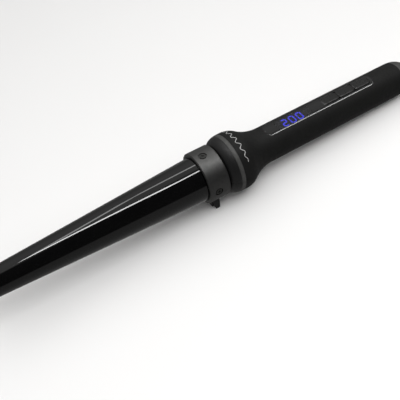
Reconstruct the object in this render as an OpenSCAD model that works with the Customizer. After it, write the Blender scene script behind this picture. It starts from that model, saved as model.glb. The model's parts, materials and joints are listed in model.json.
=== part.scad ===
// Clipless conical curling wand: heated barrel, screwed collar with a resting stand,
// two-shell flared handle with a control panel, and a swivelling cord inlet.
//
// Millimetres. The wand's axis is X: the cool tip points to -X and the cord inlet to +X.
// +Z is up, through the middle of the control panel, and the stand's feet point to -Z.
// The origin is on the axis, at the mouth of the cord inlet.
// Stations are lengths along the axis, counted from the barrel's root towards the inlet.

/* [Barrel] */
// Length of the heated cone, from its tip end to its root
barrel_len = 152; // [140:1:165]
// Diameter of the cone at its root, inside the collar
barrel_root_d = 32.4; // [32:0.1:32.6]
// Diameter of the cone at its tip end
barrel_tip_d = 18.2; // [17.6:0.1:20]
// Wall of the barrel tube
barrel_wall = 1.5; // [1.2:0.1:1.6]
// Length of the cool tip
tip_len = 14; // [12:0.5:20]

/* [Collar and stand] */
// Outer diameter of the collar
collar_d = 37.8; // [37.6:0.1:38.4]
// Length of the collar
collar_len = 16.2; // [15.8:0.1:16.4]
// Number of screws round the collar
collar_screw_count = 4; // [2, 4]
// Height of the axis over the feet's soles
stand_height = 23; // [22.6:0.1:25]
// Distance between the outer faces of the two feet
stand_width = 27; // [25:0.5:28]

/* [Handle] */
// Diameter of the grip
grip_d = 26.54; // [26.4:0.02:26.8]
// Diameter of the flare at its widest
flare_d = 43.4; // [43.2:0.1:44.4]
// Wall of the handle shells
shell_wall = 2.2; // [2:0.1:2.3]
// Steepest angle of the flare's outline
flare_angle = 35; // [34:1:38]
// Width of the metal trim ring
ring_len = 3; // [2.6:0.1:3.2]

/* [Control panel] */
// Width of the panel insert
panel_w = 11.7; // [11.4:0.1:12]
// Distance between two button centres
button_pitch = 14.6; // [14.4:0.1:14.8]
// Width of a button
button_w = 7.8; // [7.4:0.1:8]
// How far a button travels when it is pressed
button_travel = 0.6; // [0.3:0.1:0.6]

/* [Cord inlet] */
// Diameter of the hole that takes the cord
cord_hole_d = 7; // [6:0.5:7]
// Length of the gland outside the end cap
gland_out = 10; // [8:0.5:14]

/* [Hidden] */
$fn = 96;

// Fits
slip = 0.1;          // clearance between two parts that are fixed together
seam = 0.1;          // line left between two shells or trims that meet
running = 0.06;      // radial clearance of the gland in the end cap
arc_step = 5;        // degrees between the points of a rounded outline
big = 60;            // longer than any cross-section of the wand
long = 800;          // longer than the wand

// Radii
barrel_root_r = barrel_root_d / 2;
barrel_tip_r = barrel_tip_d / 2;
collar_r = collar_d / 2;
collar_bore_r = collar_r - 1.9;
grip_r = grip_d / 2;
grip_bore_r = grip_r - shell_wall;
flare_r = flare_d / 2;
neck_r = 14.4;       // neck of the root insulator, clamped by the shells
lead_bore_r = 7.4;   // bore of the root insulator, where the leads run
seat_r = flare_r - 2.4;   // tongue of the shells that carries the ring and the front cap

// Stations of the outside, from front to rear
tube_end = 1;
collar_front = -0.2;
collar_rear = collar_front + collar_len;
cap_front = collar_rear + 1;
ring_front = cap_front + 6.4;
ring_rear = ring_front + ring_len;
flare_peak = ring_rear + 3.1;
tongue_front = cap_front + 4.2;
cap_wall = 2;
grip_end = 178;
cap_end = grip_end + 12.5;
gland_gap = 0.5;      // most of the play in front of the gland's shoulder
inlet_mouth = cap_end + gland_gap + gland_out;

// Flare: a convex arc rolls over from the peak and a concave arc runs out on the grip
flare_roll_r = 14.8;
flare_mid_r = flare_r - flare_roll_r * (1 - cos(flare_angle));
flare_sweep_r = (flare_mid_r - grip_r) / (1 - cos(flare_angle));
flare_end = flare_peak + (flare_roll_r + flare_sweep_r) * sin(flare_angle);

// Rib inside the flare that grips the insulator's neck
rib_front = flare_peak - 2.6;
rib_rear = flare_peak + 0.6;

// Stand
foot_front = 3.3;
foot_rear = 8.7;
foot_tip_front = 5.5;
foot_thick = 4.2;
saddle_drop = 21.3;
rest_span = grip_end - 5 - foot_rear;
rest_tilt = atan((stand_height - grip_r) / rest_span);
stand_screw_y = 7;
stand_head_r = 1.9;
stand_head_seat = saddle_drop - 1.3;
foot_top = 12;            // how far under the axis the feet begin, inside the collar

// Collar screws
collar_screw_station = 6.2;
collar_head_r = 2.2;
collar_head_len = 1;
collar_head_gap = 0.7;    // open ring round the head
collar_head_seat = collar_r - collar_head_len - 0.2;

// Small screws of the collar and the stand
small_shank_r = 0.9;
screw_hole_r = 1.15;
thread_hole_r = 0.95;
thread_depth = 7;

// Panel
panel_front = flare_end + 0.2;
panel_rear = 153.5;
panel_skin = 1.25;
panel_floor_r = grip_r - panel_skin;
panel_corner_r = 4;
panel_ledge = 1.2;
window_front = 66;
window_rear = 96;
window_w = 9.6;
window_corner_r = 1.5;
window_gap = 0.04;

// Buttons
button_count = 3;
first_button = 114.4;
button_len = button_pitch - 0.4;
button_corner_r = 2;
button_crown = 0.35;
button_flange_top = 10.8;
button_flange_len = 0.7;
switch_station = [for (i = [0 : button_count - 1]) first_button + i * button_pitch];

// Circuit board
board_front = 60;
board_rear = 162;
board_z = 2;
board_thick = 1.6;
board_w = 19.6;
board_top = board_z + board_thick;
switch_body = 4.5;
switch_height = 2;
plunger_top = board_top + switch_height + 0.6;
button_stem_end = plunger_top + button_travel + 0.1;
post_station = [65, 156];
post_y = 6.4;

// Display
display_front = 70;
display_rear = 92;
display_top = 10.6;
display_w = 9;
digit_station = [74.6, 81, 87.4];
digit_shows = [[0, 1, 2, 4, 5], [0, 2, 3, 4, 5, 6], [0, 2, 3, 4, 5, 6]];   // 2, 0 and 0
digit_len = 4.4;
digit_h = 7;
segment_w = 0.8;

// Handle screws
front_screw = [44, 8];
rear_screw = [166.5, 0];
screw_spots = [front_screw, [front_screw[0], -front_screw[1]], rear_screw];

// Heater
block_front = -140;
block_rear = -18;
plate_front = -128;
plate_rear = -22;
plate_w = 12;
plate_z = 0.2;
plate_thick = 1.2;
plate_top = plate_z + plate_thick;
fit = 0.02;          // play of the pressed pieces of the heater
lower_block_top = -0.05;
slot_z = (plate_top + fit + lower_block_top) / 2;   // middle of the slot between the blocks
spring_floor = -1.5;
spring_front = -120;
spring_rear = -40;
spring_waves = 5;
spring_w = 8;

// Leads
lead_r = 0.7;
sensor_lead_r = 0.45;

// Cord inlet
journal_r = 6;
stem_r = 4.6;
stem_front = 172;
groove_r = 5;
retainer_front = 186.3;
retainer_len = 1;
contact_r = 5.4;
contact_len = 1.5;
contact_stations = [173.3, 175.8];

// ---------------------------------------------------------------- shared shapes

// Puts a piece drawn at stations into the wand's frame
module seat() {
    translate([-inlet_mouth, 0, 0]) children();
}

// Solid of revolution about the axis; each point is [station, radius]
module turned(points) {
    rotate([0, 90, 0])
        rotate_extrude()
            polygon([for (p = points) [p[1], p[0]]]);
}

// Round cutter that goes up from the origin
module drill(depth, r) {
    cylinder(h = depth, r = r, $fn = 40);
}

// Straight rod along the axis between two stations
module rod(front, rear, r) {
    translate([front, 0, 0]) rotate([0, 90, 0]) cylinder(h = rear - front, r = r);
}

// Hollow ring about the axis
module ring(front, rear, bore, r) {
    turned([[front, bore], [rear, bore], [rear, r], [front, r]]);
}

// Keeps what is over (side = 1) or under (side = -1) the seam plane
module half(side) {
    intersection() {
        children();
        translate([-long / 2, -big, side > 0 ? seam / 2 : -big - seam / 2])
            cube([long, 2 * big, big]);
    }
}

// Points of an arc about [station, radius]; angle 0 points outwards, 90 to the rear
function arc(centre, r, from, to) =
    let (steps = ceil(abs(to - from) / arc_step))
    [for (i = [0 : steps])
        let (a = from + (to - from) * i / steps)
        [centre[0] + r * sin(a), centre[1] + r * cos(a)]];

// Outer radius of the cone at a station
function cone_r(station) =
    barrel_root_r + (barrel_root_r - barrel_tip_r) / barrel_len * station;

// Rectangle with round corners, seen from above
module rounded_plan(front, rear, width, r) {
    translate([front + r, -width / 2]) square([rear - front - 2 * r, width]);
    translate([front, -width / 2 + r]) square([rear - front, width - 2 * r]);
    for (x = [front + r, rear - r], y = [-width / 2 + r, width / 2 - r])
        translate([x, y]) circle(r);
}

// Bar with round corners that stands from one height to another
module rounded_bar(front, rear, width, r, bottom, top) {
    translate([0, 0, bottom]) linear_extrude(top - bottom) rounded_plan(front, rear, width, r);
}

// Box between two stations, centred on the axis plane
module block(front, rear, width, bottom, top) {
    translate([front, -width / 2, bottom]) cube([rear - front, width, top - bottom]);
}

// Wire of eight sides that runs along the axis through a list of points
module wire(points, r) {
    sides = 8;
    last = len(points) - 1;
    rim = [for (p = points, i = [0 : sides - 1])
        p + [0, r * cos(i * 360 / sides), r * sin(i * 360 / sides)]];
    walls = [for (j = [0 : last - 1], i = [0 : sides - 1])
        let (k = (i + 1) % sides)
        [j * sides + i, (j + 1) * sides + i, (j + 1) * sides + k, j * sides + k]];
    front = [for (i = [0 : sides - 1]) i];
    rear = [for (i = [sides - 1 : -1 : 0]) last * sides + i];
    polyhedron(points = rim, faces = concat([front, rear], walls));
}

// Cross-recess screw that points down, with its head's underside at the origin
module screw(head_r, head_len, shank_r, length) {
    cross_len = head_r * 1.2;
    cross_w = head_r * 0.3;
    cross_floor = head_len * 0.45;
    difference() {
        cylinder(h = head_len, r = head_r, $fn = 48);
        for (turn = [0, 90])
            rotate([0, 0, turn])
                translate([-cross_len / 2, -cross_w / 2, cross_floor])
                    cube([cross_len, cross_w, head_len]);
    }
    translate([0, 0, -length]) cylinder(h = length, r = shank_r, $fn = 32);
}

// Repeats a radial piece round the collar; the piece is drawn pointing to +Z
module round_collar() {
    for (i = [0 : collar_screw_count - 1])
        translate([collar_screw_station, 0, 0])
            rotate([i * 360 / collar_screw_count, 0, 0]) children();
}

// ---------------------------------------------------------------- barrel

module barrel_tube() {
    edge = 0.4;
    color([0.02, 0.02, 0.02]) turned([
        [-barrel_len, cone_r(-barrel_len) - barrel_wall],
        [tube_end, cone_r(tube_end) - barrel_wall],
        [tube_end, cone_r(tube_end)],
        [-barrel_len + edge, cone_r(-barrel_len + edge)],
        [-barrel_len, cone_r(-barrel_len) - edge]
    ]);
}

tip_front = -barrel_len - tip_len;
spigot_r = barrel_tip_r - barrel_wall - slip;
spigot_rear = -barrel_len + 5.4;
tip_head_station = -barrel_len - 7;
tip_head_r = 2.7;
tip_shank_r = 1.5;
washer_front = spigot_rear + 0.05;
washer_rear = washer_front + 0.7;
bracket_front = washer_rear + 0.05;
bracket_rear = bracket_front + 3;

module cool_tip() {
    nose_r = 3.5;
    taper = 0.5;
    groove_depth = 0.4;
    body_r = barrel_tip_r + slip;
    shoulder = -barrel_len - slip;
    color([0.06, 0.06, 0.06]) difference() {
        turned(concat(
            [[tip_front, 0]],
            arc([tip_front + nose_r, body_r - taper - nose_r], nose_r, -90, -4),
            [[shoulder - 2 * groove_depth, body_r], [shoulder - groove_depth, body_r - groove_depth]],
            [[shoulder, body_r - groove_depth], [shoulder, spigot_r]],
            [[spigot_rear, spigot_r], [spigot_rear, 0]]
        ));
        rod(tip_front - 1, tip_head_station, tip_head_r + 0.3);
        rod(tip_front - 1, spigot_rear + 1, tip_shank_r + slip);
    }
}

module tip_washer() {
    color([0.75, 0.7, 0.55])
        ring(washer_front, washer_rear, tip_shank_r + 2 * slip, spigot_r);
}

module tip_bracket() {
    color([0.65, 0.65, 0.67])
        ring(bracket_front, bracket_rear, tip_shank_r + fit, spigot_r + 0.05);
}

module tip_screw() {
    head_len = 1.6;
    color([0.7, 0.7, 0.72])
        translate([tip_head_station, 0, 0]) rotate([0, -90, 0])
            screw(tip_head_r, head_len, tip_shank_r, bracket_rear + 1.2 - tip_head_station);
}

// Half of the aluminium filling that carries heat from the plate to the cone
module heat_block(side, gap) {
    intersection() {
        turned([
            [block_front, 0],
            [block_rear, 0],
            [block_rear, cone_r(block_rear) - barrel_wall - slip],
            [block_front, cone_r(block_front) - barrel_wall - slip]
        ]);
        translate([block_front - 1, -big, side > 0 ? gap : -gap - big])
            cube([block_rear - block_front + 2, 2 * big, big]);
    }
}

sensor_z = 5;
sensor_len = 6;
sensor_r = 1.2;

module heat_block_upper() {
    color([0.72, 0.73, 0.75]) difference() {
        heat_block(1, plate_top + fit);
        translate([block_rear - sensor_len, 0, sensor_z]) rotate([0, 90, 0])
            cylinder(h = sensor_len + 1, r = sensor_r + slip);
    }
}

module heat_block_lower() {
    channel_w = spring_w + 0.6;
    above = 1;
    color([0.72, 0.73, 0.75]) difference() {
        heat_block(-1, -lower_block_top);
        block(spring_front - 1, spring_rear + 1, channel_w, spring_floor, above);
    }
}

module heater_plate() {
    color([0.9, 0.88, 0.82]) {
        block(plate_front, plate_rear, plate_w, plate_z, plate_z + plate_thick);
    }
}

// Wavy leaf that presses the plate up against the upper block
module heater_spring() {
    sheet = 0.3;
    crest = (plate_z - spring_floor - sheet) / 2 - fit;
    mid_z = plate_z - fit - crest;
    steps = spring_waves * 12;       // points along the leaf
    run = spring_rear - spring_front;
    wave = [for (i = [0 : steps])
        [spring_front + run * i / steps, mid_z + crest * sin(360 * spring_waves * i / steps)]];
    under = [for (i = [steps : -1 : 0]) [wave[i][0], wave[i][1] - sheet]];
    color([0.5, 0.52, 0.55])
        translate([0, spring_w / 2, 0]) rotate([90, 0, 0])
            linear_extrude(spring_w) polygon(concat(wave, under));
}

module thermistor() {
    color([0.25, 0.45, 0.3])
        translate([block_rear - sensor_len + 0.2, 0, sensor_z]) rotate([0, 90, 0])
            cylinder(h = sensor_len, r = sensor_r, $fn = 32);
}

fuse_spot = [-16, 3, -3.2];
fuse_len = 9;

module thermal_fuse() {
    body_r = 1.9;
    leg_r = 0.35;
    joint = fuse_spot + [0.2, 0, 0];
    color([0.6, 0.55, 0.5]) {
        translate(fuse_spot) rotate([0, 90, 0]) cylinder(h = fuse_len, r = body_r, $fn = 32);
        wire([
            [plate_rear + slip, fuse_spot[1], slot_z], [block_rear, fuse_spot[1], slot_z], joint
        ], leg_r);
    }
}

// ---------------------------------------------------------------- collar and stand

// Ring that fills the collar's mouth round the barrel
module barrel_flange() {
    front = collar_front + slip;
    rear = tube_end + slip;
    edge = 0.2;
    bore_r = cone_r(tube_end) + slip;
    outer_r = collar_bore_r - slip;
    color([0.03, 0.03, 0.03]) turned([
        [front, bore_r], [front, outer_r - edge], [front + edge, outer_r],
        [rear, outer_r], [rear, bore_r]
    ]);
}

module root_insulator() {
    plug_front = -10;
    plug_r = cone_r(plug_front) - barrel_wall - slip;
    rim_r = collar_bore_r - slip;
    rim_front = tube_end + 2 * slip;
    rim_rear = collar_rear - slip;
    lock_front = rib_rear + 0.2;
    lock_rear = 36;
    lock_r = neck_r + 1.3;
    color([0.12, 0.12, 0.12]) difference() {
        turned([
            [plug_front, lead_bore_r], [lock_rear, lead_bore_r],
            [lock_rear, lock_r], [lock_front, lock_r], [lock_front, neck_r],
            [rim_rear, neck_r], [rim_rear, rim_r],
            [rim_front, rim_r], [rim_front, plug_r], [plug_front, plug_r]
        ]);
        round_collar() translate([0, 0, rim_r - thread_depth]) drill(thread_depth + 1, thread_hole_r);
        for (y = [-stand_screw_y, stand_screw_y])
            translate([collar_screw_station, y, -rim_r]) drill(thread_depth - 1, thread_hole_r);
    }
}

module collar() {
    edge = 0.5;
    rear_edge = 0.9;
    wall_cut = 6;
    color([0.2, 0.2, 0.2]) difference() {
        turned([
            [collar_front, collar_bore_r], [collar_rear, collar_bore_r],
            [collar_rear, collar_r - rear_edge], [collar_rear - rear_edge, collar_r],
            [collar_front + edge, collar_r], [collar_front, collar_r - edge]
        ]);
        round_collar() {
            translate([0, 0, collar_head_seat]) drill(wall_cut, collar_head_r + collar_head_gap);
            translate([0, 0, collar_bore_r - 1]) drill(wall_cut, screw_hole_r);
        }
        for (y = [-stand_screw_y, stand_screw_y])
            translate([collar_screw_station, y, -collar_r]) drill(wall_cut, screw_hole_r);
    }
}

module collar_screws() {
    color([0.1, 0.1, 0.1]) round_collar()
        translate([0, 0, collar_head_seat])
            screw(collar_head_r, collar_head_len, small_shank_r, thread_depth - 1);
}

// The floor that the wand lies on: it touches the feet and the rear of the grip
module over_floor() {
    intersection() {
        children();
        translate([foot_rear, 0, -stand_height])
            rotate([0, -rest_tilt, 0])
                translate([-big, -big, 0]) cube([2 * big, 2 * big, 2 * big]);
    }
}

module foot(side) {
    outer = stand_width / 2;
    translate([0, side > 0 ? outer : -outer + foot_thick, 0]) rotate([90, 0, 0])
        linear_extrude(foot_thick)
            polygon([
                [foot_front, -foot_top], [foot_rear, -foot_top], [foot_rear, -big / 2],
                [foot_tip_front, -big / 2], [foot_tip_front, -stand_height]
            ]);
}

module stand() {
    wrap_r = collar_r + slip;
    color([0.05, 0.05, 0.05]) difference() {
        over_floor() union() {
            foot(-1);
            foot(1);
            block(foot_front, foot_rear, stand_width - foot_thick, -saddle_drop, -foot_top);
        }
        rod(collar_front, collar_rear, wrap_r);
        translate([collar_screw_station, 0, -big / 2]) drill(big / 2, collar_head_r + slip);
        for (y = [-stand_screw_y, stand_screw_y])
            translate([collar_screw_station, y, -big / 2]) {
                drill(big / 2, screw_hole_r);
                drill(big / 2 - stand_head_seat, stand_head_r + 1.5 * slip);
            }
    }
}

module stand_screws() {
    color([0.1, 0.1, 0.1])
        for (y = [-stand_screw_y, stand_screw_y])
            translate([collar_screw_station, y, -stand_head_seat])
                rotate([180, 0, 0]) screw(stand_head_r, 1, small_shank_r, 5);
}

// ---------------------------------------------------------------- handle

module front_cap() {
    roll_r = 9;
    top_angle = 8;       // the roll stops this far before it turns level
    edge_r = flare_r - 0.35;
    rear = ring_front - seam / 2;
    centre = [rear + roll_r * sin(top_angle), edge_r - roll_r * cos(top_angle)];
    brow = asin((centre[0] - cap_front) / roll_r);
    inner_r = seat_r + slip;
    turned(concat(
        [[cap_front, neck_r + slip]],
        arc(centre, roll_r, -brow, -top_angle),
        [[rear, inner_r], [tongue_front - 2 * slip, inner_r]],
        [[cap_front + cap_wall, inner_r - cap_wall], [cap_front + cap_wall, neck_r + slip]]
    ));
}

module front_cap_upper() {
    color([0.1, 0.1, 0.1]) half(1) front_cap();
}

module front_cap_lower() {
    color([0.1, 0.1, 0.1]) half(-1) front_cap();
}

module trim_ring() {
    front = ring_front + seam / 2;
    rear = ring_rear - seam / 2;
    front_r = flare_r - 0.25;
    rear_r = flare_r - 0.1;
    edge = 0.3;
    fall = 0.15;
    turned([
        [front, seat_r + slip], [rear, seat_r + slip],
        [rear, rear_r - fall], [rear - edge, rear_r],
        [front + edge, front_r], [front, front_r - fall]
    ]);
}

module trim_ring_upper() {
    color([0.4, 0.4, 0.4]) half(1) trim_ring();
}

module trim_ring_lower() {
    color([0.4, 0.4, 0.4]) half(-1) trim_ring();
}

// Outline of the handle's wall: outside from front to rear, then the inside back again
function shell_outline() =
    let (
        roll_centre = [flare_peak, flare_r - flare_roll_r],
        sweep_centre = [flare_end, grip_r + flare_sweep_r],
        wall_r = flare_r - shell_wall - 2,      // inside of the wall in front of the rib
        brow_r = flare_r - 0.08,                // the soft coating ends a hair over the ring
        last = 4                                // degrees of the inner arc left out at the rib
    )
    concat(
        [[tongue_front, seat_r], [ring_rear, seat_r], [ring_rear, brow_r]],
        arc(roll_centre, flare_roll_r, 0, flare_angle),
        arc(sweep_centre, flare_sweep_r, 180 + flare_angle, 180),
        [[grip_end, grip_r], [grip_end, grip_bore_r]],
        arc(sweep_centre, flare_sweep_r + shell_wall, 180, 180 + flare_angle - last),
        [[rib_rear, wall_r - 1.5], [rib_rear, neck_r + slip], [rib_front, neck_r + slip]],
        [[rib_front, wall_r], [tongue_front, wall_r - 0.2]]
    );

// Hole for the panel insert: a shallow seat, and a smaller hole right through
module panel_hole() {
    difference() {
        rounded_bar(panel_front, panel_rear, panel_w, panel_corner_r, 0, big);
        rod(panel_front - 1, panel_rear + 1, panel_floor_r - fit);
    }
    rounded_bar(panel_front + panel_ledge, panel_rear - panel_ledge,
        panel_w - 2 * panel_ledge, panel_corner_r - panel_ledge, 0, big);
}

// Room inside the handle's skin where its bosses and posts may stand
module boss_room() {
    front = 36.5;
    skin_left = 0.5;
    turned([
        [front, 0], [grip_end, 0], [grip_end, grip_r - skin_left],
        [flare_end, grip_r - skin_left], [front, grip_r + 2]
    ]);
}

screw_seat_z = -7;
boss_gap = 0.5;      // between a boss and the seam
boss_len = 20;

module handle_upper_shell() {
    boss_r = 2.7;
    hole_r = 1.05;
    hole_depth = 9;
    color([0.08, 0.08, 0.08]) difference() {
        union() {
            half(1) turned(shell_outline());
            intersection() {
                for (p = screw_spots)
                    translate([p[0], p[1], boss_gap]) cylinder(h = boss_len, r = boss_r, $fn = 48);
                boss_room();
            }
        }
        panel_hole();
        for (p = screw_spots)
            translate([p[0], p[1], 0]) drill(hole_depth, hole_r);
    }
}

module handle_lower_shell() {
    boss_r = 3.6;
    pocket_r = 2.6;
    hole_r = 1.5;
    core_r = 2;
    core_hole_r = 0.85;
    core_hole_depth = 5;
    color([0.08, 0.08, 0.08]) difference() {
        union() {
            half(-1) turned(shell_outline());
            intersection() {
                union() {
                    for (p = screw_spots)
                        translate([p[0], p[1], -boss_len - boss_gap])
                            cylinder(h = boss_len, r = boss_r, $fn = 48);
                    for (x = post_station, y = [-post_y, post_y])
                        translate([x, y, -boss_len])
                            cylinder(h = boss_len + board_z - fit, r = core_r, $fn = 32);
                }
                boss_room();
            }
        }
        for (p = screw_spots)
            translate([p[0], p[1], 0]) {
                translate([0, 0, -boss_len]) drill(boss_len, hole_r);
                translate([0, 0, -big + screw_seat_z]) drill(big, pocket_r);
            }
        for (x = post_station, y = [-post_y, post_y])
            translate([x, y, board_z - core_hole_depth]) drill(core_hole_depth + 1, core_hole_r);
    }
}

module shell_screws() {
    head_r = 2.4;
    head_len = 1.5;
    grip_len = 7;        // thread inside the upper shell
    color([0.12, 0.12, 0.12])
        for (p = screw_spots)
            translate([p[0], p[1], screw_seat_z])
                rotate([180, 0, 0]) screw(head_r, head_len, 1, grip_len - screw_seat_z);
}

// ---------------------------------------------------------------- control panel

mouth_gap = 0.15;    // round the row of buttons
button_row_front = switch_station[0] - button_len / 2 - mouth_gap;
button_row_rear = switch_station[button_count - 1] + button_len / 2 + mouth_gap;

// Slice of the grip's outer skin, cut to a plan
module skin(front, rear, width, corner_r, inner_r) {
    intersection() {
        ring(front - 1, rear + 1, inner_r, grip_r);
        rounded_bar(front, rear, width, corner_r, 0, big);
    }
}

module panel_cover() {
    color([0.02, 0.02, 0.02]) difference() {
        skin(panel_front + slip, panel_rear - slip, panel_w - 2 * slip,
            panel_corner_r - slip, panel_floor_r);
        rounded_bar(window_front, window_rear, window_w, window_corner_r, 0, big);
        rounded_bar(button_row_front, button_row_rear, button_w + 2 * mouth_gap,
            button_corner_r + mouth_gap, 0, big);
    }
}

module display_window() {
    color([0.05, 0.05, 0.08, 0.6])
        skin(window_front + window_gap, window_rear - window_gap, window_w - 2 * window_gap,
            window_corner_r - window_gap, panel_floor_r);
}

module display_module() {
    color([0.15, 0.15, 0.15])
        block(display_front, display_rear, display_w, board_top, display_top);
}

// Seven-segment figure that reads from the -Y side with its top towards +Y
module figure_segments(shown) {
    half_len = digit_len / 2 - segment_w / 2;
    half_h = digit_h / 2 - segment_w / 2;
    gap = segment_w * 0.6;       // left at a segment's end
    bar = half_h - gap;
    flats = [for (y = [half_h, 0, -half_h]) [0, y]];
    posts = [for (x = [-half_len, half_len], y = [half_h / 2, -half_h / 2]) [x, y]];
    for (i = shown) {
        flat = i < 3;
        spot = flat ? flats[i] : posts[i - 3];
        size = flat ? [2 * (half_len - gap), segment_w] : [segment_w, bar];
        translate(spot) square(size, center = true);
    }
}

module display_digits() {
    thick = 0.2;
    color([0.15, 0.3, 1])
        for (i = [0 : len(digit_station) - 1])
            translate([digit_station[i], 0, display_top])
                linear_extrude(thick) figure_segments(digit_shows[i]);
}

// Crowned key with a flange that the cover holds down and a stem over its switch
module button(station) {
    front = station - button_len / 2;
    rear = station + button_len / 2;
    crown_r = grip_r + button_crown;
    flange_w = button_w + 0.9;
    stem_r = 1.5;
    overlap = 0.1;
    intersection() {
        rounded_bar(front, rear, button_w, button_corner_r, button_flange_top - overlap, big);
        rod(front - 1, rear + 1, crown_r);
    }
    rounded_bar(front + slip, rear - slip, flange_w, button_corner_r,
        button_flange_top - button_flange_len, button_flange_top);
    translate([station, 0, button_stem_end])
        cylinder(h = button_flange_top - button_stem_end - 2 * overlap, r = stem_r, $fn = 32);
}

module button_power() {
    color([0.12, 0.12, 0.12]) button(switch_station[0]);
}

module button_plus() {
    color([0.12, 0.12, 0.12]) button(switch_station[1]);
}

module button_minus() {
    color([0.12, 0.12, 0.12]) button(switch_station[2]);
}

module tactile_switches() {
    plunger_r = 1.1;
    color([0.3, 0.3, 0.32])
        for (x = switch_station) {
            block(x - switch_body / 2, x + switch_body / 2, switch_body,
                board_top, board_top + switch_height);
            translate([x, 0, board_top]) cylinder(h = plunger_top - board_top, r = plunger_r, $fn = 32);
        }
}

// ---------------------------------------------------------------- electronics

module circuit_board() {
    hole_r = 1.2;
    color([0.1, 0.4, 0.2]) difference() {
        block(board_front, board_rear, board_w, board_z, board_top);
        for (x = post_station, y = [-post_y, post_y])
            translate([x, y, board_z - 1]) drill(board_thick + 2, hole_r);
    }
}

module board_screws() {
    color([0.7, 0.7, 0.72])
        for (x = post_station, y = [-post_y, post_y])
            translate([x, y, board_top]) screw(1.7, 1, 0.8, 5);
}

// Component that hangs under the board: [front, rear], width and how far it hangs down
module under_board(span, width, drop) {
    block(span[0], span[1], width, board_z - drop, board_z);
}

module microcontroller() {
    span = [98, 105];
    width = 7;
    height = 1.4;
    color([0.08, 0.08, 0.08]) block(span[0], span[1], width, board_top, board_top + height);
}

module triac() {
    body = [94, 104];
    tab = [104, 109.5];
    width = 9.5;
    drop = 4.5;
    tab_thick = 1.3;
    color([0.1, 0.1, 0.1]) under_board(body, width, drop);
    color([0.7, 0.7, 0.7])
        block(tab[0], tab[1], width, board_z - drop, board_z - drop + tab_thick);
}

module board_fuse() {
    front = 70;
    length = 18;
    radius = 2.2;
    color([0.8, 0.8, 0.75])
        translate([front, 0, board_z - radius]) rotate([0, 90, 0])
            cylinder(h = length, r = radius, $fn = 32);
}

module film_capacitor() {
    span = [129, 144];
    side = 9;
    color([0.75, 0.35, 0.1]) under_board(span, side, side);
}

module choke() {
    station = 118;
    height = 8;
    radius = 5;
    color([0.55, 0.3, 0.12])
        translate([station, 0, board_z - height]) cylinder(h = height, r = radius, $fn = 48);
}

mains_z = board_z - 4;
terminal_y = 2.2;
terminal_floor = 149;

module terminal_block() {
    span = [147.5, 154];
    width = 9;
    drop = 8;
    hole_r = 1;
    color([0.2, 0.5, 0.25]) difference() {
        under_board(span, width, drop);
        for (y = [-terminal_y, terminal_y])
            translate([terminal_floor, y, mains_z]) rotate([0, 90, 0])
                cylinder(h = drop, r = hole_r, $fn = 24);
    }
}

// ---------------------------------------------------------------- leads

lead_z = board_top + lead_r;
lead_y = 3.6;
lead_end = board_front + 3;
lead_rise = 30;      // where the leads reach the height of the board

module heater_lead_live() {
    color([0.7, 0.1, 0.1]) wire([
        fuse_spot + [fuse_len + fit, 0, 0], [4, fuse_spot[1], fuse_spot[2]],
        [lead_rise, lead_y, lead_z], [lead_end, lead_y, lead_z]
    ], lead_r);
}

module heater_lead_neutral() {
    color([0.1, 0.2, 0.6]) wire([
        [plate_rear + slip, -lead_y, slot_z], [block_rear, -lead_y, slot_z],
        [0, -lead_y, 1.5], [lead_rise, -lead_y, lead_z], [lead_end, -lead_y, lead_z]
    ], lead_r);
}

module sensor_leads() {
    z = board_top + sensor_lead_r;
    apart = 0.6;
    color([0.85, 0.85, 0.8])
        for (y = [-apart, apart])
            wire([
                [block_rear + 3 * slip, y, sensor_z], [0, y, sensor_z],
                [20, y, z], [lead_end, y, z]
            ], sensor_lead_r);
}

holder_front = 171;

// Runs from the terminal block past the rear screw's boss to the brush holder
module mains_lead(side) {
    boss_station = 166;
    boss_y = 5.6;
    brush_y = 7.6;
    wire([
        [terminal_floor + 2 * slip, side * terminal_y, mains_z], [158, side * terminal_y, mains_z],
        [boss_station, side * boss_y, mains_z], [holder_front - slip, side * brush_y, 0]
    ], lead_r);
}

module mains_lead_live() {
    color([0.5, 0.25, 0.1]) mains_lead(1);
}

module mains_lead_neutral() {
    color([0.1, 0.3, 0.7]) mains_lead(-1);
}

// ---------------------------------------------------------------- cord inlet

module end_cap() {
    dome_r = 16.6;
    flat_len = 0.5;
    dome_sweep = asin((cap_end - grip_end - flat_len) / dome_r);
    dome_centre = [grip_end + seam, grip_r - slip - dome_r];
    wall = 1.6;
    bearing_len = 3;
    bearing_rim = 1.2;
    spigot_front = grip_end - 4.5;
    funnel_front = grip_end + 4;
    outer = grip_bore_r - slip;
    pocket_r = 8.6;
    color([0.42, 0.42, 0.4]) turned(concat(
        [[spigot_front, outer - wall], [spigot_front, outer], [grip_end + seam, outer]],
        arc(dome_centre, dome_r, 0, dome_sweep),
        [[cap_end, journal_r + bearing_rim], [cap_end, journal_r + running]],
        [[cap_end - bearing_len, journal_r + running], [cap_end - bearing_len, pocket_r]],
        [[funnel_front, outer - wall]]
    ));
}

holder_bore_r = 6.6;

module brush_holder() {
    rear = grip_end - 0.4;
    outer = grip_bore_r - 1.8;
    color([0.85, 0.82, 0.7]) ring(holder_front, rear, holder_bore_r, outer);
}

// One sprung leaf on each contact ring, on opposite sides
module contact_brushes() {
    leaf = 0.4;
    leaf_w = 2;
    stalk_w = 1.2;
    inset = 0.3;
    gap = 0.06;
    color([0.75, 0.5, 0.25])
        for (i = [0, 1])
            rotate([i * 180, 0, 0]) {
                front = contact_stations[i];
                block(front, front + contact_len, leaf_w, contact_r + gap, contact_r + gap + leaf);
                block(front + inset, front + contact_len - inset, stalk_w,
                    contact_r + gap, holder_bore_r - 0.08);
            }
}

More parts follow.
